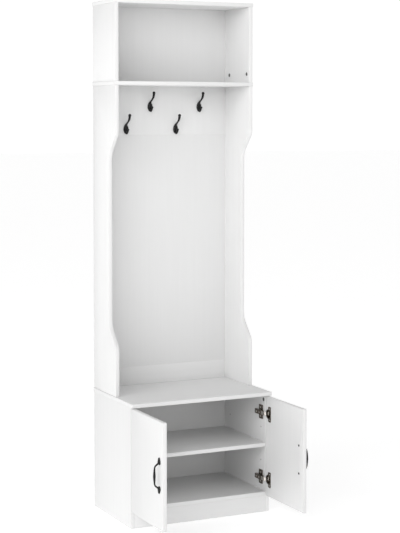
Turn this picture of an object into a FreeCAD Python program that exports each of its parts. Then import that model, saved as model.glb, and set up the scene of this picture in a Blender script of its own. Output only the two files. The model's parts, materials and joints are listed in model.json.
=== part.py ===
import FreeCAD, Part
import math
import os

# Hall tree: a low cupboard with a bench top, a coat bay with four hooks and an open cubby on top.
# Millimetres, +Z up, +X to the right of a person facing it, front towards -Y.
# Origin: on the floor, under the middle of the overall box with both doors standing open.
# "depth" is measured forward from the back plane, heights are measured up from the floor.

# Boards
WIDTH = 600.0
BOARD = 15.0
SIDE_INSET = 3.0
BASE_DEPTH = 375.0
BENCH_OVERHANG = 20.0
BENCH_CORNER_R = 3.0
BENCH_EDGE_R = 2.0
UPPER_DEPTH = 230.0
GLIDE_HEIGHT = 2.0
PLINTH_HEIGHT = 65.0
BASE_HEIGHT = 465.0
BAY_HEIGHT = 1205.0
CUBBY_HEIGHT = 300.0
HOOK_BOARD_HEIGHT = 195.0
LOWER_RAIL_HEIGHT = 75.0

# Scooped front edge of the coat bay's sides
SCOOP_DEPTH = 70.0
SCOOP_HALF_HEIGHT = 427.5
SCOOP_SLOPE = math.radians(42)
SHOULDER_R = 40.0
WAIST_R = 70.0

# Adjustable shelf
SHELF_UNDERSIDE = 260.0
SHELF_CLEARANCE = 1.0
PIN_HOLE_HEIGHTS = (200.0, 266.0, 332.0)
PIN_HOLE_DEPTHS = (64.0, 335.0)
PIN_R = 2.5
PIN_LENGTH = 16.0
PIN_HOLE_LENGTH = 9.0

# Doors, modelled open at a right angle
DOOR_GAP = 3.5
DOOR_REVEAL = 0.5
DOOR_WIDTH = 294.5
DOOR_TOP_GAP = 3.5
DOOR_OPEN_OFFSET = 3.5

# Concealed hinges, one pivot each
HINGE_INSET = 68.0
CUP_R = 17.5
CUP_WALL = 1.0
CUP_DEPTH = 11.5
CUP_EDGE = 20.5
FLANGE_T = 1.5
FLANGE_WIDTH = 20.0
FLANGE_HEIGHT = 61.0
EAR_OFFSET = 9.5
EAR_SPACING = 45.0
HINGE_PIN_R = 1.25
PIVOT_CLEARANCE = 0.05
NOSE_HALF = 6.5
EYE_HALF = 5.2
EAR_T = 2.9
NOSE_T = 2.2
ARM_HEIGHT = 12.5
ARM_HALF = 9.0
PLATE_SETBACK = 37.0
PLATE_HALF = 28.0
PLATE_SCREW_SPACING = 34.0

# Bow handles
HANDLE_EDGE = 32.0
HANDLE_SPACING = 107.0
HANDLE_CENTRE = 264.5
HANDLE_REACH = 20.3
HANDLE_FOOT_TIP_R = 4.0
HANDLE_FOOT_R = 10.5
HANDLE_FOOT_LENGTH = 28.0
HANDLE_FOOT_T = 6.0
HANDLE_FOOT_PAST_SCREW = 13.0

# Coat hooks
HOOK_POSITIONS = ((-162.0, 1489.0), (-56.5, 1579.0), (56.5, 1489.0), (162.0, 1579.0))
HOOK_SCREW_HEIGHTS = (14.0, 30.0)
HOOK_PAD_MIDDLE = 26.0
HOOK_PAD_HALF_HEIGHT = 20.0
HOOK_PAD_HALF_WIDTH = 11.0
HOOK_PAD_END_R = 6.5

# Knock-down fittings
CAM_R = 7.5
CAM_DEPTH = 12.5
BOLT_R = 3.0
BOLT_BITE = 10.0
CAM_TO_EDGE = 20.0
CUBBY_CAM_TO_EDGE = 34.0
DOWEL_R = 4.0
DOWEL_BITE = 9.0
DOWEL_LENGTH = 28.0
FIT = 0.1

# Places worked out from the driving dimensions
HALF_CASE = WIDTH / 2 - SIDE_INSET
HALF_INSIDE = HALF_CASE - BOARD
FOOT = GLIDE_HEIGHT
BOTTOM_Z = FOOT + PLINTH_HEIGHT
BENCH_Z = FOOT + BASE_HEIGHT
BAY_Z = BENCH_Z + BOARD
MIDDLE_Z = BAY_Z + BAY_HEIGHT
CUBBY_Z = MIDDLE_Z + BOARD
TOP_Z = CUBBY_Z + CUBBY_HEIGHT
SHELF_Z = FOOT + SHELF_UNDERSIDE
DOOR_TOP_Z = BENCH_Z - DOOR_TOP_GAP
OPEN_DEPTH = BASE_DEPTH + DOOR_OPEN_OFFSET + DOOR_WIDTH
BACK_Y = OPEN_DEPTH / 2
HINGE_Z = {"upper": DOOR_TOP_Z - HINGE_INSET, "lower": BOTTOM_Z + HINGE_INSET}
SIDE_MIDDLE = HALF_CASE - BOARD / 2

X_AXIS = FreeCAD.Vector(1, 0, 0)
Y_AXIS = FreeCAD.Vector(0, 1, 0)
Z_AXIS = FreeCAD.Vector(0, 0, 1)
CENTRE = FreeCAD.Vector(0, 0, 0)


def point(x, depth, z):
    return FreeCAD.Vector(x, BACK_Y - depth, z)


def block(x0, x1, depth0, depth1, z0, z1):
    """A box between two X values, two depths and two heights."""
    return Part.makeBox(x1 - x0, depth1 - depth0, z1 - z0, point(x0, depth1, z0))


def rod(radius, length, start, direction):
    return Part.makeCylinder(radius, length, start, direction)


def mirrored(shape):
    """The same piece on the other side of the case."""
    return shape.mirror(CENTRE, X_AXIS)


def sided(shape, side):
    return shape if side == "left" else mirrored(shape)


def joined(shapes):
    whole = shapes[0].fuse(shapes[1:])
    return whole.removeSplitter()


# ---------------------------------------------------------------- boards

def scooped_outline():
    """Closed wire of a coat-bay side in depth and height: a waist between two full-depth ends."""
    middle = BAY_Z + BAY_HEIGHT / 2
    waist = UPPER_DEPTH - SCOOP_DEPTH
    drop_shoulder = SHOULDER_R * (1 - math.cos(SCOOP_SLOPE))
    drop_waist = WAIST_R * (1 - math.cos(SCOOP_SLOPE))
    slope_run = (SCOOP_DEPTH - drop_shoulder - drop_waist) / math.tan(SCOOP_SLOPE)
    run = (SHOULDER_R + WAIST_R) * math.sin(SCOOP_SLOPE) + slope_run

    def shoulder(turn, sense):
        depth = UPPER_DEPTH - SHOULDER_R * (1 - math.cos(turn))
        height = SCOOP_HALF_HEIGHT - SHOULDER_R * math.sin(turn)
        return point(0, depth, middle + sense * height)

    def hollow(turn, sense):
        depth = waist + WAIST_R * (1 - math.cos(turn))
        height = SCOOP_HALF_HEIGHT - run + WAIST_R * math.sin(turn)
        return point(0, depth, middle + sense * height)

    def arc(curve, sense, start, end):
        return Part.Arc(curve(start, sense), curve((start + end) / 2, sense), curve(end, sense))

    def line(start, end):
        return Part.LineSegment(start, end)

    top_back = point(0, 0, MIDDLE_Z)
    top_front = point(0, UPPER_DEPTH, MIDDLE_Z)
    foot_back = point(0, 0, BAY_Z)
    foot_front = point(0, UPPER_DEPTH, BAY_Z)
    edges = [
        line(top_back, top_front),
        line(top_front, shoulder(0, 1)),
        arc(shoulder, 1, 0, SCOOP_SLOPE),
        line(shoulder(SCOOP_SLOPE, 1), hollow(SCOOP_SLOPE, 1)),
        arc(hollow, 1, SCOOP_SLOPE, 0),
        line(hollow(0, 1), hollow(0, -1)),
        arc(hollow, -1, 0, SCOOP_SLOPE),
        line(hollow(SCOOP_SLOPE, -1), shoulder(SCOOP_SLOPE, -1)),
        arc(shoulder, -1, SCOOP_SLOPE, 0),
        line(shoulder(0, -1), foot_front),
        line(foot_front, foot_back),
        line(foot_back, top_back),
    ]
    return Part.Wire([edge.toShape() for edge in edges])


def bay_side():
    """Left side of the coat bay."""
    side = Part.Face(scooped_outline()).extrude(X_AXIS * BOARD)
    side.translate(X_AXIS * -HALF_CASE)
    return side


def bench_top():
    """Bench board with softened front corners and a softened upper edge."""
    half = WIDTH / 2
    board = block(-half, half, 0, BASE_DEPTH + BENCH_OVERHANG, BENCH_Z, BAY_Z)
    front = BACK_Y - BASE_DEPTH - BENCH_OVERHANG
    corners = [edge for edge in board.Edges if edge.BoundBox.YMax < front + 1 and edge.BoundBox.ZLength > 1]
    board = board.makeFillet(BENCH_CORNER_R, corners)
    rim = [edge for edge in board.Edges if edge.BoundBox.ZMin > BAY_Z - 0.1 and edge.BoundBox.YMin < BACK_Y - 1]
    return board.makeFillet(BENCH_EDGE_R, rim)


def shelf_board():
    """Adjustable shelf, notched underneath at its ends so that it drops over its four pins."""
    half = HALF_INSIDE - SHELF_CLEARANCE
    board = block(-half, half, BOARD + SHELF_CLEARANCE, BASE_DEPTH, SHELF_Z, SHELF_Z + BOARD)
    pin_z = FOOT + PIN_HOLE_HEIGHTS[1]
    reach = PIN_LENGTH - PIN_HOLE_LENGTH + 1.5
    notch_top = pin_z + PIN_R
    for depth in PIN_HOLE_DEPTHS:
        notch = block(-half - 1, -half + reach, depth - PIN_R - 0.5, depth + PIN_R + 0.5, SHELF_Z - 1, notch_top)
        board = board.cut([notch, mirrored(notch)])
    return board


def make_boards():
    inner = HALF_INSIDE
    outer = HALF_CASE
    half = WIDTH / 2
    bay_top_rail = MIDDLE_Z - HOOK_BOARD_HEIGHT
    bay_low_rail = BAY_Z + LOWER_RAIL_HEIGHT
    base_side = block(-outer, -inner, 0, BASE_DEPTH, FOOT, BENCH_Z)
    cubby_side = block(-outer, -inner, 0, UPPER_DEPTH, CUBBY_Z, TOP_Z)
    return {
        "base_left_side": base_side,
        "base_right_side": mirrored(base_side),
        "bottom_board": block(-inner, inner, 0, BASE_DEPTH, BOTTOM_Z, BOTTOM_Z + BOARD),
        "front_plinth": block(-inner, inner, BASE_DEPTH - BOARD, BASE_DEPTH, FOOT, BOTTOM_Z),
        "rear_plinth": block(-inner, inner, 0, BOARD, FOOT, BOTTOM_Z),
        "base_back": block(-inner, inner, 0, BOARD, BOTTOM_Z + BOARD, BENCH_Z),
        "adjustable_shelf": shelf_board(),
        "bench_top": bench_top(),
        "bay_left_side": bay_side(),
        "bay_right_side": mirrored(bay_side()),
        "lower_back_rail": block(-inner, inner, 0, BOARD, BAY_Z, bay_low_rail),
        "bay_back": block(-inner, inner, 0, BOARD, bay_low_rail, bay_top_rail),
        "hook_board": block(-inner, inner, 0, BOARD, bay_top_rail, MIDDLE_Z),
        "middle_shelf": block(-half, half, 0, UPPER_DEPTH, MIDDLE_Z, CUBBY_Z),
        "cubby_left_side": cubby_side,
        "cubby_right_side": mirrored(cubby_side),
        "cubby_back": block(-inner, inner, 0, BOARD, CUBBY_Z, TOP_Z),
        "top_board": block(-half, half, 0, UPPER_DEPTH, TOP_Z, TOP_Z + BOARD),
    }


def door_board():
    """Left door, standing open in front of the left side."""
    start = BASE_DEPTH + DOOR_OPEN_OFFSET
    return block(-HALF_CASE, -HALF_INSIDE, start, start + DOOR_WIDTH, BOTTOM_Z, DOOR_TOP_Z)


# ---------------------------------------------------------------- fittings between boards

class Fittings:
    """Collects the loose fittings and the holes that they need in the boards."""

    def __init__(self, boards):
        self.boards = boards
        self.cams = []
        self.bolts = []
        self.dowels = []
        self.screws = []

    def drill(self, name, hole):
        self.boards[name] = self.boards[name].cut(hole)

    def cam_joint(self, cam_board, bolt_board, face_point, inward, towards, distance):
        """A cam in a face of cam_board pulls a bolt that bites into bolt_board.

        face_point is the cam's centre on the face, inward points into the board, towards points at
        the bolted board, and distance is from the cam's centre to that board."""
        bolt_line = face_point + inward * (BOARD / 2)
        drum = rod(CAM_R - FIT, CAM_DEPTH - 0.5, face_point, inward)
        mouth = rod(BOLT_R + 0.6, CAM_R + 1, bolt_line, towards)
        across = towards.cross(inward)
        slots = []
        for turn in (45, 135):
            slot = Part.makeBox(9, 1.4, 2, FreeCAD.Vector(-4.5, -0.7, 0))
            slot.rotate(CENTRE, Z_AXIS, turn)
            slot.Placement = FreeCAD.Placement(face_point, FreeCAD.Rotation(towards, across, inward)) * slot.Placement
            slots.append(slot)
        self.cams.append(drum.cut([mouth] + slots))
        shank_start = bolt_line + towards * 1.5
        shank = rod(BOLT_R, distance - 1.5 + BOLT_BITE, shank_start, towards)
        self.bolts.append(shank)
        self.drill(cam_board, rod(CAM_R, CAM_DEPTH, face_point, inward))
        self.drill(cam_board, rod(BOLT_R + FIT, distance, bolt_line, towards))
        self.drill(bolt_board, rod(BOLT_R + FIT, BOLT_BITE + 0.5, bolt_line + towards * distance, towards))

    def dowel(self, first_board, second_board, joint_point, direction):
        """A dowel across a joint: a short bite in second_board, the rest in first_board's edge."""
        tail = DOWEL_LENGTH - DOWEL_BITE
        self.dowels.append(rod(DOWEL_R, DOWEL_LENGTH, joint_point - direction * tail, direction))
        self.drill(first_board, rod(DOWEL_R + FIT, tail + 1, joint_point - direction * (tail + 1), direction))
        self.drill(second_board, rod(DOWEL_R + FIT, DOWEL_BITE + 1, joint_point, direction))

    def screw(self, through_board, into_board, head_point, direction):
        """A countersunk screw through one board's thickness into the next board's edge."""
        head = Part.makeCone(4.8, 2.6, 4.0, head_point, direction)
        socket = rod(1.6, 2.2, head_point, direction)
        shank = rod(2.6, 46, head_point + direction * 4, direction)
        self.screws.append(joined([head, shank]).cut(socket))
        clearance = Part.makeCone(4.9, 2.7, 4.0, head_point, direction)
        hole = rod(2.7, 47, head_point + direction * 4, direction)
        for name in (through_board, into_board):
            self.drill(name, clearance.fuse(hole))


def fit_case(fittings):
    """Every hidden and visible fitting that holds the case together."""
    up = Z_AXIS
    down = -Z_AXIS
    forward = -Y_AXIS
    for side, sense in (("left", -1), ("right", 1)):
        outward = X_AXIS * sense
        wall = sense * HALF_INSIDE
        edge = sense * SIDE_MIDDLE
        base, bay, cubby = f"base_{side}_side", f"bay_{side}_side", f"cubby_{side}_side"
        for depth in (54.0, 357.0):
            fittings.cam_joint(base, "bench_top", point(wall, depth, BENCH_Z - CAM_TO_EDGE), outward, up, CAM_TO_EDGE)
        for depth in (54.0, 207.0):
            place = point(wall, depth, CUBBY_Z + CUBBY_CAM_TO_EDGE)
            fittings.cam_joint(cubby, "middle_shelf", place, outward, down, CUBBY_CAM_TO_EDGE)
        inner = wall - sense * CAM_TO_EDGE
        for depth in (90.0, 300.0):
            fittings.cam_joint("bottom_board", base, point(inner, depth, BOTTOM_Z), up, outward, CAM_TO_EDGE)
        rear_cams = [(base, "rear_plinth", (FOOT + 32,)), (base, "base_back", (BOTTOM_Z + 60, BENCH_Z - 60))]
        rear_cams.append((bay, "lower_back_rail", (BAY_Z + 37,)))
        rear_cams.append((bay, "bay_back", (BAY_Z + 160, BAY_Z + 540, BAY_Z + 920)))
        rear_cams.append((bay, "hook_board", (MIDDLE_Z - 150, MIDDLE_Z - 40)))
        rear_cams.append((cubby, "cubby_back", (CUBBY_Z + 80, TOP_Z - 60)))
        for wall_board, back_board, heights in rear_cams:
            for z in heights:
                fittings.cam_joint(back_board, wall_board, point(inner, 0, z), forward, outward, CAM_TO_EDGE)
        plinth_place = point(inner, BASE_DEPTH - BOARD, FOOT + 32)
        fittings.cam_joint("front_plinth", base, plinth_place, forward, outward, CAM_TO_EDGE)
        for depth in (110.0, 310.0):
            fittings.dowel(base, "bench_top", point(edge, depth, BENCH_Z), up)
        for depth in (30.0, 130.0):
            fittings.dowel(bay, "bench_top", point(edge, depth, BAY_Z), down)
            fittings.dowel(bay, "middle_shelf", point(edge, depth, MIDDLE_Z), up)
        for depth in (90.0, 165.0):
            fittings.dowel(cubby, "middle_shelf", point(edge, depth, CUBBY_Z), down)
        for depth in (75.0, 190.0):
            fittings.screw("bench_top", bay, point(edge, depth, BENCH_Z), up)
        for depth in (60.0, 190.0):
            fittings.screw("top_board", cubby, point(edge, depth, TOP_Z + BOARD), down)
        for depth in (68.0, 180.0):
            fittings.screw("middle_shelf", bay, point(edge, depth, CUBBY_Z), down)


def shelf_pins():
    """Four pins under the shelf."""
    pins = []
    z = FOOT + PIN_HOLE_HEIGHTS[1]
    for depth in PIN_HOLE_DEPTHS:
        start = point(-HALF_INSIDE - PIN_HOLE_LENGTH + 0.5, depth, z)
        pin = rod(PIN_R - FIT, PIN_LENGTH - 1, start, X_AXIS)
        pins += [pin, mirrored(pin)]
    return pins


def pin_holes():
    """The two rows of shelf-pin holes in the left base side."""
    holes = []
    for z in PIN_HOLE_HEIGHTS:
        for depth in PIN_HOLE_DEPTHS:
            holes.append(rod(PIN_R, PIN_HOLE_LENGTH, point(-HALF_INSIDE, depth, FOOT + z), -X_AXIS))
    return holes


def glides():
    """Nail-on glides under the four feet of the base sides."""
    pads = []
    for depth in (30.0, BASE_DEPTH - 30.0):
        foot = rod(6.5, GLIDE_HEIGHT, point(-SIDE_MIDDLE, depth, 0), Z_AXIS)
        rim = [edge for edge in foot.Edges if edge.BoundBox.ZMax < 0.1]
        foot = foot.makeFillet(0.8, rim)
        nail = rod(1.0, 12, point(-SIDE_MIDDLE, depth, GLIDE_HEIGHT), Z_AXIS)
        pad = joined([foot, nail])
        pads += [pad, mirrored(pad)]
    return pads


def glide_holes():
    return [rod(1.1, 12.5, point(-SIDE_MIDDLE, depth, FOOT), Z_AXIS) for depth in (30.0, BASE_DEPTH - 30.0)]


# ---------------------------------------------------------------- concealed hinges

# Plan coordinates of a hinge: u runs inwards from the case's outer face and v runs forward from the
# side's front edge.
PIVOT_U = (BOARD + DOOR_GAP - DOOR_OPEN_OFFSET + DOOR_REVEAL) / 2
PIVOT_V = (BOARD + DOOR_GAP + DOOR_OPEN_OFFSET - DOOR_REVEAL) / 2
CUP_V = DOOR_OPEN_OFFSET + CUP_EDGE
EAR_V = CUP_V + EAR_OFFSET
ARM_U = BOARD + ARM_HEIGHT


def hinge_point(u, v, z):
    return point(-HALF_CASE + u, BASE_DEPTH + v, z)


def hinge_block(u0, u1, v0, v1, z0, z1):
    return block(-HALF_CASE + u0, -HALF_CASE + u1, BASE_DEPTH + v0, BASE_DEPTH + v1, z0, z1)


def flat_plate(outline, u0, thickness, z):
    """Extrudes a closed outline of (v, height) points along u."""
    corners = [hinge_point(u0, v, z + h) for v, h in outline]
    return Part.Face(Part.makePolygon(corners + corners[:1])).extrude(X_AXIS * thickness)


def hinge_cup(z):
    """Pressed cup with its screw flange and the two ears that hold the pivot pin."""
    face = BOARD
    cup = rod(CUP_R, CUP_DEPTH, hinge_point(face, CUP_V, z), -X_AXIS)
    rim = rod(CUP_R + 1.5, FLANGE_T, hinge_point(face, CUP_V, z), X_AXIS)
    half = EAR_SPACING / 2
    wing, tall, cut = FLANGE_WIDTH / 2, FLANGE_HEIGHT / 2, 3.0
    outline = [
        (EAR_V - wing, -tall + cut), (EAR_V - wing + cut, -tall), (EAR_V + wing - cut, -tall),
        (EAR_V + wing, -tall + cut), (EAR_V + wing, tall - cut), (EAR_V + wing - cut, tall),
        (EAR_V - wing + cut, tall), (EAR_V - wing, tall - cut),
    ]
    shell = joined([cup, rim, flat_plate(outline, face, FLANGE_T, z)])
    well_depth = CUP_DEPTH - CUP_WALL + FLANGE_T
    well = rod(CUP_R - CUP_WALL, well_depth, hinge_point(face + FLANGE_T, CUP_V, z), -X_AXIS)
    shell = shell.cut(well)
    floor_u = face - CUP_DEPTH + CUP_WALL / 2
    ears = []
    for side in (-1, 1):
        near = z + side * (NOSE_HALF + 0.5)
        far = z + side * (NOSE_HALF + 0.5 + EAR_T)
        low, high = min(near, far), max(near, far)
        ear = hinge_block(floor_u, PIVOT_U, PIVOT_V - 2.6, PIVOT_V + 2.6, low, high)
        round_end = rod(2.6, high - low, hinge_point(PIVOT_U, PIVOT_V, low), Z_AXIS)
        ears.append(joined([ear, round_end]).common(rod(CUP_R, 40, hinge_point(-10, CUP_V, z), X_AXIS)))
    shell = joined([shell] + ears)
    holes = [rod(HINGE_PIN_R + 0.01, 40, hinge_point(PIVOT_U, PIVOT_V, z - 20), Z_AXIS)]
    for h in (-half, half):
        holes.append(rod(2.2, 4, hinge_point(face - 1, EAR_V, z + h), X_AXIS))
    return shell.cut(holes)


def hinge_pin(z):
    length = 2 * (NOSE_HALF + 0.3 + EAR_T)
    return rod(HINGE_PIN_R, length, hinge_point(PIVOT_U, PIVOT_V, z - length / 2), Z_AXIS)


def cup_screws(z):
    screws = []
    for h in (-EAR_SPACING / 2, EAR_SPACING / 2):
        seat = hinge_point(BOARD + FLANGE_T, EAR_V, z + h)
        head = Part.makeSphere(4.2, seat - X_AXIS * 3.0)
        head = head.common(rod(5, 5, seat, X_AXIS))
        shank = rod(1.9, 12, seat, -X_AXIS)
        recess = rod(0.9, 3, seat + X_AXIS * 0.4, X_AXIS)
        screws.append(joined([head, shank]).cut(recess))
    return screws


def door_bores(z):
    """What a hinge needs from the door: the cup's bore and two pilot holes."""
    bores = [rod(CUP_R + FIT, CUP_DEPTH + 0.2, hinge_point(BOARD, CUP_V, z), -X_AXIS)]
    for h in (-EAR_SPACING / 2, EAR_SPACING / 2):
        bores.append(rod(2.0, 11, hinge_point(BOARD, EAR_V, z + h), -X_AXIS))
    return bores


def arm_nose(z):
    """The cranked front of the arm: forward, round a bend and back to the pivot inside the cup."""
    bend = 8.0
    outer = ARM_U
    inner = ARM_U - NOSE_T
    half_t = NOSE_T / 2
    turn_v = PIVOT_V - bend
    turn_u = ARM_U - half_t - bend

    def arc(radius):
        middle = math.radians(45)
        start = hinge_point(turn_u + radius, turn_v, z)
        through = hinge_point(turn_u + radius * math.cos(middle), turn_v + radius * math.sin(middle), z)
        return Part.Arc(start, through, hinge_point(turn_u, turn_v + radius, z))

    def line(start, end):
        return Part.LineSegment(hinge_point(*start, z), hinge_point(*end, z))

    edges = [
        line((inner, -10), (outer, -10)),
        line((outer, -10), (outer, turn_v)),
        arc(bend + half_t),
        line((turn_u, PIVOT_V + half_t), (PIVOT_U, PIVOT_V + half_t)),
        line((PIVOT_U, PIVOT_V + half_t), (PIVOT_U, PIVOT_V - half_t)),
        line((PIVOT_U, PIVOT_V - half_t), (turn_u, PIVOT_V - half_t)),
        arc(bend - half_t),
        line((inner, turn_v), (inner, -10)),
    ]
    strip = Part.Face(Part.Wire(Part.__sortEdges__([edge.toShape() for edge in edges])))
    strip.translate(Z_AXIS * -NOSE_HALF)
    nose = strip.extrude(Z_AXIS * 2 * NOSE_HALF)
    eye = rod(HINGE_PIN_R + 1.0, 2 * EYE_HALF, hinge_point(PIVOT_U, PIVOT_V, z - EYE_HALF), Z_AXIS)
    return [nose, eye]


def hinge_arm(z):
    """Channel over the mounting plate, narrowing to the cranked nose."""
    inner = ARM_U - NOSE_T
    outline = [(-68, -ARM_HALF), (-18, -ARM_HALF), (-8, -NOSE_HALF), (-8, NOSE_HALF), (-18, ARM_HALF), (-68, ARM_HALF)]
    pieces = [flat_plate(outline, inner, NOSE_T, z)]
    for side in (-1, 1):
        edges = sorted((z + side * ARM_HALF, z + side * (ARM_HALF - 1.3)))
        pieces.append(hinge_block(BOARD + 4, ARM_U, -66, -19, edges[0], edges[1]))
    arm = joined(pieces + arm_nose(z))
    pin_hole = rod(HINGE_PIN_R + PIVOT_CLEARANCE, 20, hinge_point(PIVOT_U, PIVOT_V, z - 10), Z_AXIS)
    holes = [pin_hole]
    for v in (-54.0, -30.0):
        holes.append(rod(2.7, 10, hinge_point(ARM_U - 5, v, z), X_AXIS))
    slot = hinge_block(ARM_U - 5, ARM_U + 5, -60, -54, z - 2.7, z + 2.7)
    return arm.cut(holes + [slot])


def arm_screws(z):
    screws = []
    for v in (-54.0, -30.0):
        seat = hinge_point(ARM_U, v, z)
        head = rod(4.0, 1.8, seat, X_AXIS)
        shank = rod(2.4, 9, seat, -X_AXIS)
        slot = block(seat.x + 1.0, seat.x + 3, BASE_DEPTH + v - 0.6, BASE_DEPTH + v + 0.6, z - 5, z + 5)
        screws.append(joined([head, shank]).cut(slot))
    return screws


def mounting_plate(z):
    """Cross-shaped plate: two screw wings and a rib that carries the arm."""
    wing_half = 15.0
    centre_v = -PLATE_SETBACK
    tip = PLATE_HALF
    chamfer = 2.0
    outline = [
        (centre_v - wing_half, -tip + chamfer), (centre_v - wing_half + chamfer, -tip),
        (centre_v + wing_half - chamfer, -tip), (centre_v + wing_half, -tip + chamfer),
        (centre_v + wing_half, tip - chamfer), (centre_v + wing_half - chamfer, tip),
        (centre_v - wing_half + chamfer, tip), (centre_v - wing_half, tip - chamfer),
    ]
    wings = flat_plate(outline, BOARD, 2.4, z)
    rib_half = ARM_HALF - 1.6
    rib = hinge_block(BOARD, ARM_U - NOSE_T - 0.1, -64, -16, z - rib_half, z + rib_half)
    steps = [hinge_block(BOARD, BOARD + 3.6, -PLATE_SETBACK - 8, -PLATE_SETBACK + 8, z - 12, z + 12)]
    plate = joined([wings, rib] + steps)
    holes = []
    for h in (-PLATE_SCREW_SPACING / 2, PLATE_SCREW_SPACING / 2):
        holes.append(rod(2.8, 10, hinge_point(BOARD - 1, centre_v, z + h), X_AXIS))
    for v in (-54.0, -30.0):
        holes.append(rod(2.5, 9, hinge_point(ARM_U - NOSE_T + 0.1, v, z), -X_AXIS))
    return plate.cut(holes)


def plate_screws(z):
    screws = []
    for h in (-PLATE_SCREW_SPACING / 2, PLATE_SCREW_SPACING / 2):
        seat = hinge_point(BOARD + 2.4, -PLATE_SETBACK, z + h)
        head = rod(3.9, 1.5, seat, X_AXIS)
        shank = rod(2.5, 12.5, seat, -X_AXIS)
        cross = rod(1.0, 3, seat + X_AXIS * 0.3, X_AXIS)
        screws.append(joined([head, shank]).cut(cross))
    return screws


def side_pilots(z):
    """Pilot holes in a base side for one mounting plate."""
    halves = (-PLATE_SCREW_SPACING / 2, PLATE_SCREW_SPACING / 2)
    return [rod(2.6, 11, hinge_point(BOARD, -PLATE_SETBACK, z + h), -X_AXIS) for h in halves]


# ---------------------------------------------------------------- handles and hooks

def tapered_bar(points, radii):
    """A solid round bar through the points, with a radius at each point."""
    curve = Part.BSplineCurve()
    curve.interpolate(points)
    rings = []
    for place, radius in zip(points, radii):
        direction = curve.tangent(curve.parameter(place))[0]
        rings.append(Part.Wire(Part.makeCircle(radius, place, direction)))
    return Part.makeLoft(rings, True, False)


def drop_outline(place, small_r, big_r, length):
    """Closed teardrop wire. place(across, along) gives a 3-D point; the small end is at 0."""
    lean = math.asin((big_r - small_r) / (length - small_r - big_r))
    small_c, big_c = small_r, length - big_r

    def on(centre, radius, angle):
        return place(radius * math.cos(angle), centre + radius * math.sin(angle))

    edges = [
        Part.Arc(on(small_c, small_r, -lean), on(small_c, small_r, -math.pi / 2),
                 on(small_c, small_r, math.pi + lean)),
        Part.LineSegment(on(small_c, small_r, math.pi + lean), on(big_c, big_r, math.pi + lean)),
        Part.Arc(on(big_c, big_r, math.pi + lean), on(big_c, big_r, math.pi / 2), on(big_c, big_r, -lean)),
        Part.LineSegment(on(big_c, big_r, -lean), on(small_c, small_r, -lean)),
    ]
    return Part.Wire([edge.toShape() for edge in edges])


def oval_outline(place, half_width, half_height, end_r):
    """Closed oval wire of four tangent arcs. place(across, up) gives a 3-D point, with (0, 0) in the middle."""
    rise = half_height - end_r
    side_r = (half_width ** 2 + rise ** 2 - end_r ** 2) / (2 * (half_width - end_r))
    turn = math.atan2(rise, side_r - half_width)
    meet = (end_r * math.cos(turn), rise + end_r * math.sin(turn))
    a, b = place(meet[0], meet[1]), place(-meet[0], meet[1])
    c, d = place(-meet[0], -meet[1]), place(meet[0], -meet[1])
    arcs = [
        Part.Arc(a, place(0, half_height), b), Part.Arc(b, place(-half_width, 0), c),
        Part.Arc(c, place(0, -half_height), d), Part.Arc(d, place(half_width, 0), a),
    ]
    return Part.Wire([arc.toShape() for arc in arcs])


def rounded_pad(outline, on_face, normal, thickness, edge_r):
    """A flat pad with its front edge rounded."""
    pad = Part.Face(outline).extrude(normal * thickness)
    front = [e for e in pad.Edges if abs((e.CenterOfMass - on_face).dot(normal) - thickness) < 0.01]
    return pad.makeFillet(edge_r, front)


def door_handle():
    """Bow handle of the left door: two leaf feet and a swelling grip."""
    face_x = -HALF_CASE
    y_depth = OPEN_DEPTH - HANDLE_EDGE
    middle = FOOT + HANDLE_CENTRE

    def at(reach, height):
        return point(face_x - reach, y_depth, middle + height)

    pieces = []
    for sense in (-1, 1):
        def place(across, along, sense=sense):
            height = HANDLE_SPACING / 2 + HANDLE_FOOT_PAST_SCREW - along
            return point(face_x, y_depth + across, middle + sense * height)
        outline = drop_outline(place, HANDLE_FOOT_TIP_R, HANDLE_FOOT_R, HANDLE_FOOT_LENGTH)
        pieces.append(rounded_pad(outline, place(0, 14), -X_AXIS, HANDLE_FOOT_T, 2.8))
    half = HANDLE_SPACING / 2
    reach = HANDLE_REACH
    bow = [(2.5, half - 4), (6.5, half - 10), (13.5, half - 16), (18.0, half - 22), (19.8, half - 33), (reach, 0)]
    radii = [5.2, 4.1, 3.1, 2.8, 3.7, 5.1]
    points = [at(*p) for p in bow] + [at(r, -h) for r, h in bow[-2::-1]]
    pieces.append(tapered_bar(points, radii + radii[-2::-1]))
    behind_face = block(face_x, face_x + 10, y_depth - 20, y_depth + 20, middle - 80, middle + 80)
    holes = [rod(1.6, 3.0, point(face_x, y_depth, middle + sense * half), -X_AXIS) for sense in (-1, 1)]
    return joined(pieces).cut([behind_face] + holes)


def handle_screws():
    screws = []
    for sense in (-1, 1):
        seat = point(-HALF_INSIDE, OPEN_DEPTH - HANDLE_EDGE, FOOT + HANDLE_CENTRE + sense * HANDLE_SPACING / 2)
        head = Part.makeSphere(5.4, seat - X_AXIS * 3.0).common(rod(6, 6, seat, X_AXIS))
        shank = rod(1.5, BOARD + 2.5, seat, -X_AXIS)
        recess = rod(0.9, 3, seat + X_AXIS * 0.9, X_AXIS)
        screws.append(joined([head, shank]).cut(recess))
    return screws


def handle_holes():
    holes = []
    for sense in (-1, 1):
        z = FOOT + HANDLE_CENTRE + sense * HANDLE_SPACING / 2
        holes.append(rod(2.0, BOARD, point(-HALF_INSIDE, OPEN_DEPTH - HANDLE_EDGE, z), -X_AXIS))
    return holes


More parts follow.
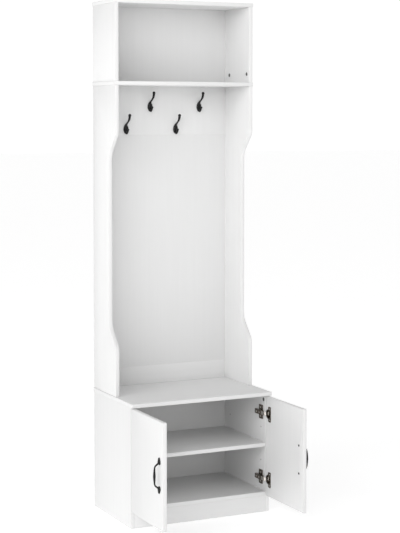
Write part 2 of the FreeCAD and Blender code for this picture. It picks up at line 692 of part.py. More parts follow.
def coat_hook(x, z):
    """Cast double hook: oval pad, long ball-ended upper prong and short lower prong."""
    def at(reach, height):
        return point(x, BOARD + reach, FOOT + z + height)

    def place(across, up):
        return point(x + across, BOARD, FOOT + z + HOOK_PAD_MIDDLE + up)

    outline = oval_outline(place, HOOK_PAD_HALF_WIDTH, HOOK_PAD_HALF_HEIGHT, HOOK_PAD_END_R)
    pad = rounded_pad(outline, place(0, 0), -Y_AXIS, 5.5, 2.6)
    upper = [(-3, 32), (2.5, 37.5), (6, 43), (12, 48), (19, 52), (27, 57), (33.5, 62.8), (37.4, 69.8), (39.4, 77)]
    upper_bar = tapered_bar([at(*p) for p in upper], [3.4, 3.6, 3.9, 3.7, 3.5, 3.8, 4.5, 4.9, 5.0])
    ball = Part.makeSphere(6.1, at(39.8, 80.0))
    lower = [(-3, 12.6), (2, 10.3), (6.5, 8.5), (10.5, 9.2), (15, 12.8), (19.5, 17.8), (22.2, 21.4)]
    lower_bar = tapered_bar([at(*p) for p in lower], [4.5, 4.9, 5.0, 4.6, 4.4, 4.2, 4.0])
    tip = Part.makeSphere(4.5, at(23.0, 22.8))
    behind_wall = block(x - 20, x + 20, BOARD - 10, BOARD, FOOT + z - 10, FOOT + z + 100)
    holes = [rod(1.8, 4.5, at(0, height), -Y_AXIS) for height in HOOK_SCREW_HEIGHTS]
    return joined([pad, upper_bar, ball, lower_bar, tip]).cut([behind_wall] + holes)


def hook_screws(x, z):
    """Two machine screws through the hook board from behind."""
    screws = []
    for height in HOOK_SCREW_HEIGHTS:
        seat = point(x, 2.0, FOOT + z + height)
        head = rod(3.8, 1.8, seat - Y_AXIS * 0.1, Y_AXIS)
        shank = rod(1.7, BOARD - 2 + 4.2, seat, -Y_AXIS)
        cross = rod(0.9, 2, seat + Y_AXIS * 0.9, Y_AXIS)
        screws.append(joined([head, shank]).cut(cross))
    return screws


def hook_holes(x, z):
    holes = []
    for height in HOOK_SCREW_HEIGHTS:
        start = point(x, 0, FOOT + z + height)
        holes.append(rod(4.1, 2.1, start, -Y_AXIS))
        holes.append(rod(1.9, BOARD, start, -Y_AXIS))
    return holes


# ---------------------------------------------------------------- assembly

def build():
    boards = make_boards()
    fittings = Fittings(boards)
    fit_case(fittings)
    heights = list(HINGE_Z.values())
    pilots = [hole for z in heights for hole in side_pilots(z)]
    side_holes = pin_holes() + pilots + glide_holes()
    boards["base_left_side"] = boards["base_left_side"].cut(side_holes)
    boards["base_right_side"] = boards["base_right_side"].cut([mirrored(hole) for hole in side_holes])
    back_holes = [hole for place in HOOK_POSITIONS for hole in hook_holes(*place)]
    boards["hook_board"] = boards["hook_board"].cut(back_holes)

    parts = dict(boards)
    door = door_board().cut(handle_holes() + [bore for z in heights for bore in door_bores(z)])
    for side in ("left", "right"):
        parts[f"{side}_door"] = sided(door, side)
        parts[f"{side}_handle"] = sided(door_handle(), side)
        parts[f"{side}_handle_screws"] = [sided(screw, side) for screw in handle_screws()]
        parts[f"{side}_hinge_pins"] = [sided(hinge_pin(z), side) for z in heights]
        parts[f"{side}_cup_screws"] = [sided(screw, side) for z in heights for screw in cup_screws(z)]
        for level, z in HINGE_Z.items():
            parts[f"{side}_{level}_hinge_cup"] = sided(hinge_cup(z), side)
            parts[f"{side}_{level}_hinge_arm"] = sided(hinge_arm(z), side)
            parts[f"{side}_{level}_mounting_plate"] = sided(mounting_plate(z), side)
    plate_fixings = [screw for z in heights for screw in plate_screws(z)]
    arm_fixings = [screw for z in heights for screw in arm_screws(z)]
    parts["plate_screws"] = plate_fixings + [mirrored(screw) for screw in plate_fixings]
    parts["arm_screws"] = arm_fixings + [mirrored(screw) for screw in arm_fixings]
    for number, place in enumerate(HOOK_POSITIONS, 1):
        parts[f"coat_hook_{number}"] = coat_hook(*place)
    parts["hook_screws"] = [screw for place in HOOK_POSITIONS for screw in hook_screws(*place)]
    parts["shelf_pins"] = shelf_pins()
    parts["floor_glides"] = glides()
    parts["cam_locks"] = fittings.cams
    parts["cam_bolts"] = fittings.bolts
    parts["dowels"] = fittings.dowels
    parts["case_screws"] = fittings.screws
    return parts


def save(parts):
    os.makedirs("parts", exist_ok=True)
    for name, shape in parts.items():
        solid = Part.makeCompound(shape) if isinstance(shape, list) else shape
        solid.exportStep(f"parts/{name}.step")


save(build())
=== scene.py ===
import json
import math

import bmesh
import bpy
from mathutils import Matrix, Vector


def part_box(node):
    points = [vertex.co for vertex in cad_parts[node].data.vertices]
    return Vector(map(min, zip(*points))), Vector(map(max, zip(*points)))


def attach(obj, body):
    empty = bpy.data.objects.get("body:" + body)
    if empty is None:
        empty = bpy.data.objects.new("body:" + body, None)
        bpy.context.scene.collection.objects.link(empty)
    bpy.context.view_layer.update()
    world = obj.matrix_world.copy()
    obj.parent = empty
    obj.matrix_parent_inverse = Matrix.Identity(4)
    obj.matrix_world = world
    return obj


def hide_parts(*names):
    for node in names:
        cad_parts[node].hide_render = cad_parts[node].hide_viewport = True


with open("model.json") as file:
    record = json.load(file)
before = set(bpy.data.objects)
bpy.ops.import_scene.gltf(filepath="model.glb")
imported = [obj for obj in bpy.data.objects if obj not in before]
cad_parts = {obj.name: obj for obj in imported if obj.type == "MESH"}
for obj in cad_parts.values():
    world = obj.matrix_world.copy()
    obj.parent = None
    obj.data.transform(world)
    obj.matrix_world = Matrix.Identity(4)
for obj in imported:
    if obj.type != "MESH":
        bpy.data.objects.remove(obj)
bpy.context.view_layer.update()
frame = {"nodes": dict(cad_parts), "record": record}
MM = 0.001
scene = bpy.context.scene


# ------------------------------------------------------------------ camera

LENS = 98.081
SENSOR = 36.0
SHIFT_UP = -0.135
CAMERA_PLACE = (-2.41999, -5.05164, 1.55097)
CAMERA_YAW = math.radians(25.7113)
CAMERA_PITCH = math.radians(2.9223)
NEAREST, FARTHEST = 0.1, 200.0


def make_camera():
    """A long lens at the front left, at the height of the hooks, tilted slightly down."""
    data = bpy.data.cameras.new("camera")
    data.lens = LENS
    data.sensor_width = SENSOR
    data.shift_y = SHIFT_UP
    data.clip_start = NEAREST
    data.clip_end = FARTHEST
    cam = bpy.data.objects.new("camera", data)
    scene.collection.objects.link(cam)
    cam.location = CAMERA_PLACE
    level = math.cos(CAMERA_PITCH)
    forward = Vector((math.sin(CAMERA_YAW) * level, math.cos(CAMERA_YAW) * level, -math.sin(CAMERA_PITCH)))
    cam.rotation_mode = "QUATERNION"
    cam.rotation_quaternion = forward.to_track_quat("-Z", "Y")
    scene.camera = cam


# ------------------------------------------------------------------ materials

# Noise lies mostly between these values.
NOISE_LOW, NOISE_HIGH = 0.3, 0.7


class Nodes:
    """Short calls for a material's node tree."""

    def __init__(self, name):
        self.material = bpy.data.materials.new(name)
        self.material.use_nodes = True
        self.tree = self.material.node_tree
        self.tree.nodes.clear()
        self.out = self.tree.nodes.new("ShaderNodeOutputMaterial")
        self.shader = self.tree.nodes.new("ShaderNodeBsdfPrincipled")
        self.link(self.shader.outputs["BSDF"], self.out.inputs["Surface"])

    def link(self, source, target):
        self.tree.links.new(source, target)

    def add(self, kind, **settings):
        node = self.tree.nodes.new(kind)
        for key, value in settings.items():
            setattr(node, key, value)
        return node

    def position(self, scale=(1, 1, 1), offset=(0, 0, 0)):
        """Object coordinates in metres, scaled per axis."""
        coords = self.add("ShaderNodeTexCoord")
        mapping = self.add("ShaderNodeMapping")
        mapping.inputs["Scale"].default_value = scale
        mapping.inputs["Location"].default_value = offset
        self.link(coords.outputs["Object"], mapping.inputs["Vector"])
        return mapping.outputs["Vector"]

    def noise(self, vector, scale=1.0, detail=3.0, roughness=0.5):
        node = self.add("ShaderNodeTexNoise")
        node.inputs["Scale"].default_value = scale
        node.inputs["Detail"].default_value = detail
        node.inputs["Roughness"].default_value = roughness
        self.link(vector, node.inputs["Vector"])
        return node.outputs["Fac"]

    def remap(self, value, low, high, to_low, to_high):
        node = self.add("ShaderNodeMapRange")
        node.inputs["From Min"].default_value = low
        node.inputs["From Max"].default_value = high
        node.inputs["To Min"].default_value = to_low
        node.inputs["To Max"].default_value = to_high
        self.link(value, node.inputs["Value"])
        return node.outputs["Result"]

    def spread(self, noise, to_low, to_high):
        """Noise stretched over its usual range."""
        return self.remap(noise, NOISE_LOW, NOISE_HIGH, to_low, to_high)

    def blend(self, factor, first, second):
        """A mix of two colours, each a tuple or a socket."""
        node = self.add("ShaderNodeMix", data_type="RGBA")
        for socket, value in ((node.inputs[6], first), (node.inputs[7], second)):
            if isinstance(value, tuple):
                socket.default_value = (*value, 1)
            else:
                self.link(value, socket)
        self.link(factor, node.inputs[0])
        return node.outputs[2]

    def math(self, operation, first, second):
        """Arithmetic on sockets and floats."""
        node = self.add("ShaderNodeMath", operation=operation)
        for socket, value in zip(node.inputs, (first, second)):
            if isinstance(value, float):
                socket.default_value = value
            else:
                self.link(value, socket)
        return node.outputs[0]

    def vector(self, operation, *values):
        node = self.add("ShaderNodeVectorMath", operation=operation)
        for socket, value in zip(node.inputs, values):
            if isinstance(value, tuple):
                socket.default_value = value
            else:
                self.link(value, socket)
        return node.outputs["Vector"]

    def bump(self, height, strength, distance, normal=None):
        node = self.add("ShaderNodeBump")
        node.inputs["Strength"].default_value = strength
        node.inputs["Distance"].default_value = distance
        self.link(height, node.inputs["Height"])
        if normal is not None:
            self.link(normal, node.inputs["Normal"])
        return node.outputs["Normal"]


# Noise cycles per metre along X, Y and Z, for a board whose grain runs along X or Z.
GRAIN = {"X": (2.2, 70, 70), "Z": (70, 70, 2.2)}
PORES = {"X": (38, 1300, 1300), "Z": (1300, 1300, 38)}
SEED_SHIFT = (1.7, 2.3, 3.1)
CLOUD_SCALE, RUB_SCALE, CHIP_SCALE = 6, 260, 900

BOARD_DARK, BOARD_LIGHT = (0.748, 0.748, 0.747), (0.766, 0.766, 0.765)
BOARD_CLOUD = (0.742, 0.742, 0.739)
BOARD_PORE = (0.7, 0.7, 0.696)
BOARD_RUBBED = (0.69, 0.688, 0.68)
# Raw chipboard for the holes, far darker than real chipboard: painted shade inside the holes.
CHIP_SHADE_DARK, CHIP_SHADE_LIGHT = (0.02, 0.014, 0.009), (0.07, 0.05, 0.033)

# Metres in from an edge where the rubbing starts and ends, and how far noise moves that.
RUB_FULL, RUB_NONE, RUB_JITTER = 0.0002, 0.0016, 0.0006
# Metres in from a face where the raw chipboard, darkened near black as painted shade in the hole, starts to
# show.
SKIN_END, CHIP_SHADE_START = 0.0003, 0.0005


def board_insets(n, size):
    """Distances in metres from a box-shaped board's nearest edge, and from its nearest face."""
    coords = n.add("ShaderNodeTexCoord")
    centred = n.vector("SUBTRACT", coords.outputs["Generated"], (0.5, 0.5, 0.5))
    inset = n.vector("SUBTRACT", (0.5, 0.5, 0.5), n.vector("ABSOLUTE", centred))
    split = n.add("ShaderNodeSeparateXYZ")
    n.link(n.vector("MULTIPLY", inset, tuple(size)), split.inputs[0])
    x, y, z = split.outputs
    low, high = n.math("MINIMUM", x, y), n.math("MAXIMUM", x, y)
    return n.math("MAXIMUM", low, n.math("MINIMUM", high, z)), n.math("MINIMUM", low, z)


def laminate(name, grain, seed, size, holed):
    """White melamine board with faint embossed grain and rubbed edges. A holed one shows raw chipboard in its
    holes, darkened near black as painted shade.
    """
    n = Nodes(name)
    shift = tuple(seed * step for step in SEED_SHIFT)
    streaks = n.noise(n.position(GRAIN[grain], shift), detail=4, roughness=0.55)
    pores = n.noise(n.position(PORES[grain], shift), detail=2, roughness=0.5)
    cloud = n.noise(n.position((1, 1, 1), shift), CLOUD_SCALE, 3)
    colour = n.blend(n.spread(streaks, 0, 1), BOARD_DARK, BOARD_LIGHT)
    colour = n.blend(n.remap(cloud, 0.35, 0.65, 0, 0.35), colour, BOARD_CLOUD)
    colour = n.blend(n.remap(pores, 0.28, 0.36, 0.35, 0), colour, BOARD_PORE)
    from_edge, from_face = board_insets(n, size)
    jitter = n.spread(n.noise(n.position(), RUB_SCALE, 3), -RUB_JITTER, RUB_JITTER)
    wear_and_highlight = n.remap(n.math("ADD", from_edge, jitter), RUB_FULL, RUB_NONE, 1, 0)
    colour = n.blend(n.math("MULTIPLY", wear_and_highlight, 0.45), colour, BOARD_RUBBED)
    if holed:
        # Raw chipboard inside the holes, darkened near black: painted shade in the holes.
        chips_and_shade = n.blend(n.noise(n.position(), CHIP_SCALE, 2), CHIP_SHADE_DARK, CHIP_SHADE_LIGHT)
        colour = n.blend(n.remap(from_face, SKIN_END, CHIP_SHADE_START, 0, 1), colour, chips_and_shade)
    n.link(colour, n.shader.inputs["Base Color"])
    rough = n.spread(pores, 0.4, 0.56)
    n.link(n.math("SUBTRACT", rough, n.math("MULTIPLY", wear_and_highlight, 0.12)), n.shader.inputs["Roughness"])
    relief = n.bump(pores, 0.22, 0.0002)
    n.link(n.bump(streaks, 0.18, 0.0003, relief), n.shader.inputs["Normal"])
    return n.material


COAT_DARK, COAT_LIGHT = (0.002, 0.002, 0.0022), (0.005, 0.005, 0.0053)
COAT_RIDGE = (0.03, 0.029, 0.028)


def black_paint():
    """Satin black powder coat on cast metal, thinner and greyer along its ridges."""
    n = Nodes("black_coat")
    where = n.position()
    speckle = n.noise(where, 1500, 2)
    cloud = n.noise(where, 120, 3)
    coat = n.blend(cloud, COAT_DARK, COAT_LIGHT)
    shape = n.add("ShaderNodeNewGeometry")
    ridge = n.math("ADD", shape.outputs["Pointiness"], n.spread(speckle, -0.02, 0.02))
    n.link(n.blend(n.remap(ridge, 0.58, 0.7, 0, 0.5), coat, COAT_RIDGE), n.shader.inputs["Base Color"])
    n.link(n.spread(speckle, 0.2, 0.3), n.shader.inputs["Roughness"])
    n.shader.inputs["Specular IOR Level"].default_value = 0.3
    n.link(n.bump(speckle, 0.35, 0.0001), n.shader.inputs["Normal"])
    return n.material


DRAWN = (400, 400, 60)
# Size of the dark and pale patches that paint reflections on the hinges.
REFLECTION_PATCHES = (300, 300, 300)
# Hinge nickel: a near-black and a pale tone whose patches paint reflections, and a near-white painted
# highlight for the forward part of the arms.
NICKEL_REFLECT_DARK, NICKEL_REFLECT_LIGHT, NICKEL_HIGHLIGHT = (0.035, 0.028, 0.022), (0.33, 0.29, 0.245), (0.78, 0.74, 0.69)
BRIGHT_DARK, BRIGHT_LIGHT = (0.62, 0.6, 0.57), (0.8, 0.78, 0.75)
ZINC_DARK, ZINC_LIGHT = (0.45, 0.45, 0.44), (0.62, 0.62, 0.61)
CAST_DARK, CAST_LIGHT = (0.1, 0.1, 0.1), (0.2, 0.2, 0.2)
# How far behind the side's front edge the painted highlight on the hinge arms begins.
BRIGHT_BEHIND_EDGE = 14 * MM


def metal(name, dark, light, rough, noise_scale=DRAWN, bright_to=None):
    """Plated metal, with drawn grain, or with dark and pale patches that paint reflections into it. Forward
    of bright_to, in Y, a pale tone is painted over the plating as a highlight.
    """
    n = Nodes(name)
    n.shader.inputs["Metallic"].default_value = 1.0
    # Drawn grain; on the hinges, dark and pale patches that paint reflections.
    grain = n.noise(n.position(noise_scale), detail=4)
    colour = n.blend(n.spread(grain, 0, 1), dark, light)
    if bright_to is not None:
        split = n.add("ShaderNodeSeparateXYZ")
        n.link(n.position(), split.inputs[0])
        # A pale tone painted on forward of bright_to: a painted highlight where the arms catch the light.
        wear_and_highlight = n.remap(split.outputs[1], bright_to, bright_to + 2 * MM, 1, 0)
        colour = n.blend(wear_and_highlight, colour, NICKEL_HIGHLIGHT)
    n.link(colour, n.shader.inputs["Base Color"])
    n.link(n.spread(grain, rough - 0.08, rough + 0.1), n.shader.inputs["Roughness"])
    n.link(n.bump(grain, 0.2, 0.00005), n.shader.inputs["Normal"])
    return n.material


PLASTIC = (0.8, 0.8, 0.79)
BEECH_DARK, BEECH_LIGHT = (0.55, 0.36, 0.2), (0.74, 0.55, 0.36)


def plastic(name, colour):
    """Matte moulded plastic."""
    n = Nodes(name)
    fine = n.noise(n.position(), 1800, 2)
    n.link(n.blend(fine, colour, tuple(c * 0.94 for c in colour)), n.shader.inputs["Base Color"])
    n.link(n.spread(fine, 0.45, 0.6), n.shader.inputs["Roughness"])
    n.link(n.bump(fine, 0.2, 0.0001), n.shader.inputs["Normal"])
    return n.material


def beech():
    """Plain beech for the dowels."""
    n = Nodes("beech")
    grain = n.noise(n.position((60, 60, 900)), detail=4)
    n.link(n.blend(grain, BEECH_DARK, BEECH_LIGHT), n.shader.inputs["Base Color"])
    n.shader.inputs["Roughness"].default_value = 0.6
    n.link(n.bump(grain, 0.3, 0.0001), n.shader.inputs["Normal"])
    return n.material


FLOOR_DARK, FLOOR_LIGHT = (0.86, 0.86, 0.86), (0.89, 0.89, 0.89)
# The floor's own light near the piece and far from it, and the metres over which it changes.
GLOW_NEAR, GLOW_FAR = 0.4, 0.44
GLOW_FROM, GLOW_TO = 1.2, 3.2


def floor_paint():
    """White studio floor, lit from within so that it stays white out to the horizon."""
    n = Nodes("floor")
    where = n.position()
    mottled = n.noise(where, 3, 3)
    n.link(n.blend(mottled, FLOOR_DARK, FLOOR_LIGHT), n.shader.inputs["Base Color"])
    n.shader.inputs["Roughness"].default_value = 0.9
    n.shader.inputs["Specular IOR Level"].default_value = 0.1
    n.shader.inputs["Emission Color"].default_value = (1, 1, 1, 1)
    away = n.add("ShaderNodeVectorMath", operation="LENGTH")
    n.link(where, away.inputs[0])
    glow = n.remap(away.outputs["Value"], GLOW_FROM, GLOW_TO, GLOW_NEAR, GLOW_FAR)
    n.link(glow, n.shader.inputs["Emission Strength"])
    return n.material


def paint(obj, material):
    obj.data.materials.clear()
    obj.data.materials.append(material)


# Words in the names of upright boards.
VERTICAL = ("side", "back", "hook_board", "door")
SCOOPED = ("bay_left_side", "bay_right_side")
# Boards without the dark chipboard, painted shade, in their holes: the distance from the box would also catch
# their curved edges.
NO_CHIP_SHADE = SCOOPED + ("bench_top",)
BACK_EASE, BOARD_EASE = 0.3 * MM, 0.7 * MM


def dress_nodes():
    """Paints every CAD node, eases the boards' edges and returns the black coat."""
    bright_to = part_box("base_left_side")[0][1] + BRIGHT_BEHIND_EDGE
    # Hinge nickel with painted reflection patches; the arms also get a painted highlight at their front part.
    steel = metal("hinge_nickel", NICKEL_REFLECT_DARK, NICKEL_REFLECT_LIGHT, 0.24, REFLECTION_PATCHES)
    lit_steel = metal("hinge_nickel_highlight", NICKEL_REFLECT_DARK, NICKEL_REFLECT_LIGHT, 0.24, REFLECTION_PATCHES, bright_to)
    nickel = metal("bright_nickel", BRIGHT_DARK, BRIGHT_LIGHT, 0.22)
    zinc = metal("zinc", ZINC_DARK, ZINC_LIGHT, 0.4)
    cast_zinc = metal("cast_zinc", CAST_DARK, CAST_LIGHT, 0.45)
    coat = black_paint()
    by_slot = {"hinge_steel": steel, "screw_steel": zinc, "cast_zinc": cast_zinc, "black_metal": coat,
               "glide_plastic": plastic("glide_plastic", PLASTIC), "beech": beech()}
    slots = {row["node"]: row["material_slot"] for row in frame["record"]["subparts"]}
    straight, curved = outer_edges(False), outer_edges(True)
    for seed, (name, node) in enumerate(sorted(frame["nodes"].items())):
        slot = slots[name]
        if slot == "white_board":
            upright = any(word in name for word in VERTICAL) and name != "lower_back_rail"
            lo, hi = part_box(name)
            size = [b - a for a, b in zip(lo, hi)]
            grain = "Z" if upright else "X"
            paint(node, laminate("laminate_" + name, grain, seed, size, name not in NO_CHIP_SHADE))
            width = BACK_EASE if "back" in name or name == "hook_board" else BOARD_EASE
            ease_edges(node, width, curved if name in SCOOPED else straight)
        elif name.endswith("handle_screws"):
            paint(node, coat)
        elif name.endswith("hinge_arm"):
            paint(node, lit_steel)
        elif name in ("plate_screws", "arm_screws") or name.endswith("cup_screws"):
            paint(node, nickel)
        else:
            paint(node, by_slot[slot])
    return coat


WELD = 1e-6
ON_FACE = 2e-5
SIDE_BACK_STRIP = 12 * MM
SHARP_ANGLE = math.radians(40)


def outer_edges(scooped):
    """Geometry nodes that weight a board's outer edges for a bevel and keep the rims of its holes sharp.

    An outer edge lies on two faces of the board's box. On a scooped side, the long curved edges count too."""
    group = bpy.data.node_groups.new("outer_edges", "GeometryNodeTree")
    group.interface.new_socket("Geometry", in_out="INPUT", socket_type="NodeSocketGeometry")
    group.interface.new_socket("Geometry", in_out="OUTPUT", socket_type="NodeSocketGeometry")

    def add(kind, *inputs, **settings):
        node = group.nodes.new(kind)
        for key, value in settings.items():
            setattr(node, key, value)
        for socket, value in inputs:
            if isinstance(value, bpy.types.NodeSocket):
                group.links.new(value, node.inputs[socket])
            else:
                node.inputs[socket].default_value = value
        return node.outputs

    def math_node(operation, first, second):
        return add("ShaderNodeMath", (0, first), (1, second), operation=operation)[0]

    mesh = add("NodeGroupInput")[0]
    mesh = add("GeometryNodeMergeByDistance", ("Geometry", mesh), ("Distance", WELD))[0]
    box = add("GeometryNodeBoundBox", ("Geometry", mesh))
    ends = add("GeometryNodeInputMeshEdgeVertices")
    middle = add("ShaderNodeVectorMath", (0, ends["Position 1"]), (1, ends["Position 2"]), operation="ADD")[0]
    middle = add("ShaderNodeVectorMath", (0, middle), (1, (0.5, 0.5, 0.5)), operation="MULTIPLY")[0]
    from_low = add("ShaderNodeVectorMath", (0, middle), (1, box["Min"]), operation="SUBTRACT")[0]
    from_high = add("ShaderNodeVectorMath", (0, box["Max"]), (1, middle), operation="SUBTRACT")[0]
    inset = add("ShaderNodeVectorMath", (0, from_low), (1, from_high), operation="MINIMUM")[0]
    insets = add("ShaderNodeSeparateXYZ", (0, inset))
    on_face = [math_node("LESS_THAN", insets[axis], ON_FACE) for axis in range(3)]
    count = math_node("ADD", math_node("ADD", on_face[0], on_face[1]), on_face[2])
    outer = math_node("GREATER_THAN", count, 1.5)
    if scooped:
        from_back = add("ShaderNodeSeparateXYZ", (0, from_high))[1]
        in_front = math_node("GREATER_THAN", from_back, SIDE_BACK_STRIP)
        outer = math_node("MAXIMUM", outer, math_node("MULTIPLY", on_face[0], in_front))
    sharp = math_node("GREATER_THAN", add("GeometryNodeInputMeshEdgeAngle")[0], SHARP_ANGLE)
    weight = math_node("MULTIPLY", outer, sharp)
    mesh = add("GeometryNodeStoreNamedAttribute", ("Geometry", mesh), ("Name", "bevel_weight_edge"),
               ("Value", weight), data_type="FLOAT", domain="EDGE")[0]
    rim = math_node("SUBTRACT", sharp, weight)
    mesh = add("GeometryNodeStoreNamedAttribute", ("Geometry", mesh), ("Name", "sharp_edge"), ("Value", rim),
               data_type="BOOLEAN", domain="EDGE")[0]
    mesh = add("GeometryNodeSetShadeSmooth", ("Geometry", mesh), ("Shade Smooth", True), domain="FACE")[0]
    add("NodeGroupOutput", (0, mesh))
    return group


def ease_edges(node, width, group):
    """Rounds the edges that the group picks, by a bevel of this width in metres."""
    pick = node.modifiers.new("outer_edges", "NODES")
    pick.node_group = group
    bevel = node.modifiers.new("ease", "BEVEL")
    bevel.width = width
    bevel.segments = 2
    bevel.limit_method = "WEIGHT"
    bevel.use_clamp_overlap = False
    bevel.loop_slide = False
    bevel.harden_normals = True


# ------------------------------------------------------------------ cast hooks and handles

# Castings are drawn in millimetres: X is across, Y is the reach from the face, Z is the height.
# Each row of a bar is reach, height, half width across and half thickness.

HOOK_UPPER = [
    (0.5, 31, 4.2, 3.2), (3, 38, 4.4, 4.0), (7, 44.5, 4.0, 3.9),
    (12, 48.2, 3.7, 3.7), (19, 52, 3.5, 3.5), (27, 57, 3.8, 3.8),
    (33.5, 62.8, 4.5, 4.5), (37.4, 69.8, 4.9, 4.9), (39.6, 78, 5.1, 5.1),
]
HOOK_LOWER = [
    (0.5, 10.6, 5.2, 4.8), (4, 9.2, 5.1, 4.9), (8, 8.5, 4.8, 4.7), (11.5, 9.9, 4.5, 4.5),
    (15, 12.8, 4.4, 4.4), (19.5, 17.8, 4.3, 4.3), (22.8, 22.3, 4.3, 4.3),
]
HOOK_TOP = 86.1
BALL_R, BALL_REACH = 6.1, 39.8
TIP_R, TIP_REACH, TIP_HEIGHT = 4.5, 23.0, 22.8
# Heights of the pad's two balls, and their half sizes across, out and up.
PAD_HEIGHT, PAD_HALF = 25, (11, 6.2, 19)
NECK_HEIGHT, NECK_HALF = 34, (6.4, 5.4, 13)

BOW_HALF = [
    (0.8, 52, 5.2, 4.0), (4.0, 46.8, 4.7, 3.8), (8.6, 42.4, 3.7, 3.4), (14.2, 38.4, 3.1, 3.1),
    (18.0, 33.6, 3.0, 3.0), (19.6, 26, 3.3, 3.2), (20.2, 14, 4.3, 4.1), (20.3, 0, 5.2, 5.0),
]
# Height, half width and thickness of a foot at its heel and at its tip.
FOOT_HEEL, FOOT_TIP = (49.0, 10.5, 6.4), (61.5, 5.0, 5.6)
FOOT_RIDGE = 0.9

BAR_SIDES = 20
LEAF_STEPS = 22
HOOK_VOXEL, HANDLE_VOXEL = 0.6, 0.5


def smooth_rows(rows, steps=8):
    """More rows between the given ones, on a curve through them."""
    out = []
    last = len(rows) - 1
    for i in range(last):
        near = (rows[max(i - 1, 0)], rows[i], rows[i + 1], rows[min(i + 2, last)])
        for step in range(steps):
            t = step / steps
            out.append([0.5 * (2 * q + (r - p) * t + (2 * p - 5 * q + 4 * r - w) * t * t
                               + (3 * q - p - 3 * r + w) * t ** 3) for p, q, r, w in zip(*near)])
    return out + [list(rows[-1])]


def add_bar(bm, rows):
    """A closed bar along the rows."""
    rows = smooth_rows(rows)
    rings = []
    for i, (reach, height, wide, thick) in enumerate(rows):
        before, after = rows[max(i - 1, 0)], rows[min(i + 1, len(rows) - 1)]
        along = Vector((0, after[0] - before[0], after[1] - before[1])).normalized()
        out = Vector((0, -along.z, along.y))
        ring = []
        for k in range(BAR_SIDES):
            turn = 2 * math.pi * k / BAR_SIDES
            place = Vector((wide * math.cos(turn), reach, height)) + out * (thick * math.sin(turn))
            ring.append(bm.verts.new(place))
        rings.append(ring)
    for first, second in zip(rings, rings[1:]):
        for k in range(BAR_SIDES):
            beside = (k + 1) % BAR_SIDES
            bm.faces.new((first[k], first[beside], second[beside], second[k]))
    bm.faces.new(rings[0][::-1])
    bm.faces.new(rings[-1])


def add_ball(bm, centre, radii):
    """A ball, stretched to its radii along X, Y and Z."""
    matrix = Matrix.Translation(centre) @ Matrix.Diagonal((*radii, 1))
    bmesh.ops.create_icosphere(bm, subdivisions=4, radius=1.0, matrix=matrix)


def add_leaf(bm, big, small, ridge):
    """A domed teardrop pad with a ridge down it. big and small are height, half width and thickness."""
    for k in range(LEAF_STEPS + 1):
        t = k / LEAF_STEPS
        height, wide, thick = (b + (s - b) * t for b, s in zip(big, small))
        centre = Vector((0, 0, height))
        add_ball(bm, centre, (wide, thick, wide))
        add_ball(bm, centre, (wide * 0.4, thick + ridge * (1 - t * t), wide * 0.8))


def cast(name, draw, voxel):
    """One smooth casting from the closed shapes that draw adds, flat where it meets the board."""
    bm = bmesh.new()
    draw(bm)
    bmesh.ops.recalc_face_normals(bm, faces=bm.faces)
    rough = bpy.data.meshes.new(name + "_rough")
    bm.to_mesh(rough)
    bm.free()
    blank = bpy.data.objects.new(name + "_rough", rough)
    scene.collection.objects.link(blank)
    remesh = blank.modifiers.new("merge", "REMESH")
    remesh.mode = "VOXEL"
    remesh.voxel_size = voxel
    smooth = blank.modifiers.new("smooth", "SMOOTH")
    smooth.factor = 0.5
    smooth.iterations = 5
    bpy.context.view_layer.update()
    done = bpy.data.meshes.new_from_object(blank.evaluated_get(bpy.context.evaluated_depsgraph_get()))
    bpy.data.objects.remove(blank)
    bpy.data.meshes.remove(rough)
    bm = bmesh.new()
    bm.from_mesh(done)
    geometry = bm.verts[:] + bm.edges[:] + bm.faces[:]
    bmesh.ops.bisect_plane(bm, geom=geometry, plane_co=(0, 0, 0), plane_no=(0, -1, 0), clear_outer=True)
    rim = [edge for edge in bm.edges if edge.is_boundary]
    bmesh.ops.holes_fill(bm, edges=rim)
    for face in bm.faces:
        face.smooth = True
    bm.to_mesh(done)
    bm.free()
    done.name = name
    return done


def draw_hook(bm):
    """A teardrop pad, a long upper arm that ends in a ball, and a short lower arm with a round tip."""
    add_ball(bm, Vector((0, 0, PAD_HEIGHT)), PAD_HALF)
    add_ball(bm, Vector((0, 0, NECK_HEIGHT)), NECK_HALF)
    add_bar(bm, HOOK_UPPER)
    add_ball(bm, Vector((0, BALL_REACH, HOOK_TOP - BALL_R)), (BALL_R, BALL_R, BALL_R))
    add_bar(bm, HOOK_LOWER)
    add_ball(bm, Vector((0, TIP_REACH, TIP_HEIGHT)), (TIP_R, TIP_R, TIP_R))


def draw_handle(bm):
    """A bow between two teardrop feet."""
    for sense in (1, -1):
        heel, tip = ((sense * height, wide, thick) for height, wide, thick in (FOOT_HEEL, FOOT_TIP))
        add_leaf(bm, heel, tip, FOOT_RIDGE)
    other = [(reach, -height, wide, thick) for reach, height, wide, thick in BOW_HALF[-2::-1]]
    add_bar(bm, BOW_HALF + other)


def place_casting(name, mesh, matrix, node, body):
    """Puts a casting on its body, in place of a CAD node."""
    piece = bpy.data.objects.new(name, mesh)
    scene.collection.objects.link(piece)
    piece.matrix_world = matrix
    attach(piece, body)
    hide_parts(node)


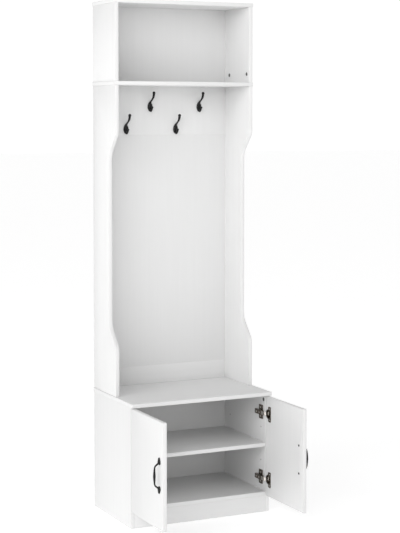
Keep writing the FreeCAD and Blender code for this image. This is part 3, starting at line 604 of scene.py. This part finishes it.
def make_castings(coat):
    """Smooth castings in place of the plain CAD hooks and handles."""
    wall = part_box("hook_board")[0][1]
    hook = cast("cast_hook", draw_hook, HOOK_VOXEL)
    hook.materials.append(coat)
    for number in range(1, 5):
        lo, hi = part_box(f"coat_hook_{number}")
        place = Vector(((lo[0] + hi[0]) / 2, wall, hi[2] - HOOK_TOP * MM))
        matrix = Matrix.Translation(place) @ Matrix.Diagonal((MM, -MM, MM, 1))
        place_casting(f"cast_hook_{number}", hook, matrix, f"coat_hook_{number}", "case")
    handle = cast("cast_handle", draw_handle, HANDLE_VOXEL)
    handle.materials.append(coat)
    for side, sense in (("left", -1), ("right", 1)):
        lo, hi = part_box(f"{side}_handle")
        door_lo, door_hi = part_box(f"{side}_door")
        face = door_hi[0] if sense > 0 else door_lo[0]
        place = Vector((face, (lo[1] + hi[1]) / 2, (lo[2] + hi[2]) / 2))
        turn = Matrix(((0, sense, 0), (1, 0, 0), (0, 0, 1))).to_4x4()
        matrix = Matrix.Translation(place) @ turn @ Matrix.Diagonal((MM, MM, MM, 1))
        place_casting(f"cast_{side}_handle", handle, matrix, f"{side}_handle", f"{side}_door_leaf")


# ------------------------------------------------------------------ studio

FLOOR_SIZE = 120
# How bright the studio is below and above, and between which heights of the sky it changes.
GLARE_LOW, GLARE_HIGH = 1.03, 0.61
GLARE_FROM, GLARE_TO = 0.08, 0.2
BOX_SIZE = 3.0
KEY_PLACE, KEY_WATTS = (-5.11, -2.383, 3.052), 97
FILL_PLACE, FILL_WATTS = (-3.234, -4.619, 3.052), 74
AIM = (0, 0, 1.0)


def make_studio():
    """A white floor, a pale surround and two large soft boxes at the front left."""
    bpy.ops.mesh.primitive_plane_add(size=FLOOR_SIZE, location=(0, 0, 0))
    floor = bpy.context.object
    floor.name = "floor"
    paint(floor, floor_paint())

    world = bpy.data.worlds.new("studio")
    scene.world = world
    world.use_nodes = True
    tree = world.node_tree
    tree.nodes.clear()
    out = tree.nodes.new("ShaderNodeOutputWorld")
    background = tree.nodes.new("ShaderNodeBackground")
    coords = tree.nodes.new("ShaderNodeTexCoord")
    split = tree.nodes.new("ShaderNodeSeparateXYZ")
    ramp = tree.nodes.new("ShaderNodeValToRGB")
    stops = ((GLARE_FROM, GLARE_LOW), (GLARE_TO, GLARE_HIGH))
    for stop, (place, level) in zip(ramp.color_ramp.elements, stops):
        stop.position = place
        stop.color = (level, level, level, 1)
    tree.links.new(coords.outputs["Generated"], split.inputs[0])
    tree.links.new(split.outputs["Z"], ramp.inputs[0])
    tree.links.new(ramp.outputs[0], background.inputs["Color"])
    tree.links.new(background.outputs[0], out.inputs["Surface"])

    soft_box("key", Vector(KEY_PLACE), KEY_WATTS)
    soft_box("fill", Vector(FILL_PLACE), FILL_WATTS)
    scene.view_settings.view_transform = "Standard"


def soft_box(name, place, watts):
    """A square area light that faces the middle of the piece."""
    light = bpy.data.lights.new(name, "AREA")
    light.shape = "RECTANGLE"
    light.size, light.size_y = BOX_SIZE, BOX_SIZE
    light.energy = watts
    lamp = bpy.data.objects.new(name, light)
    scene.collection.objects.link(lamp)
    lamp.location = place
    lamp.rotation_euler = (Vector(AIM) - place).to_track_quat("-Z", "Y").to_euler()


make_camera()
make_studio()
make_castings(dress_nodes())
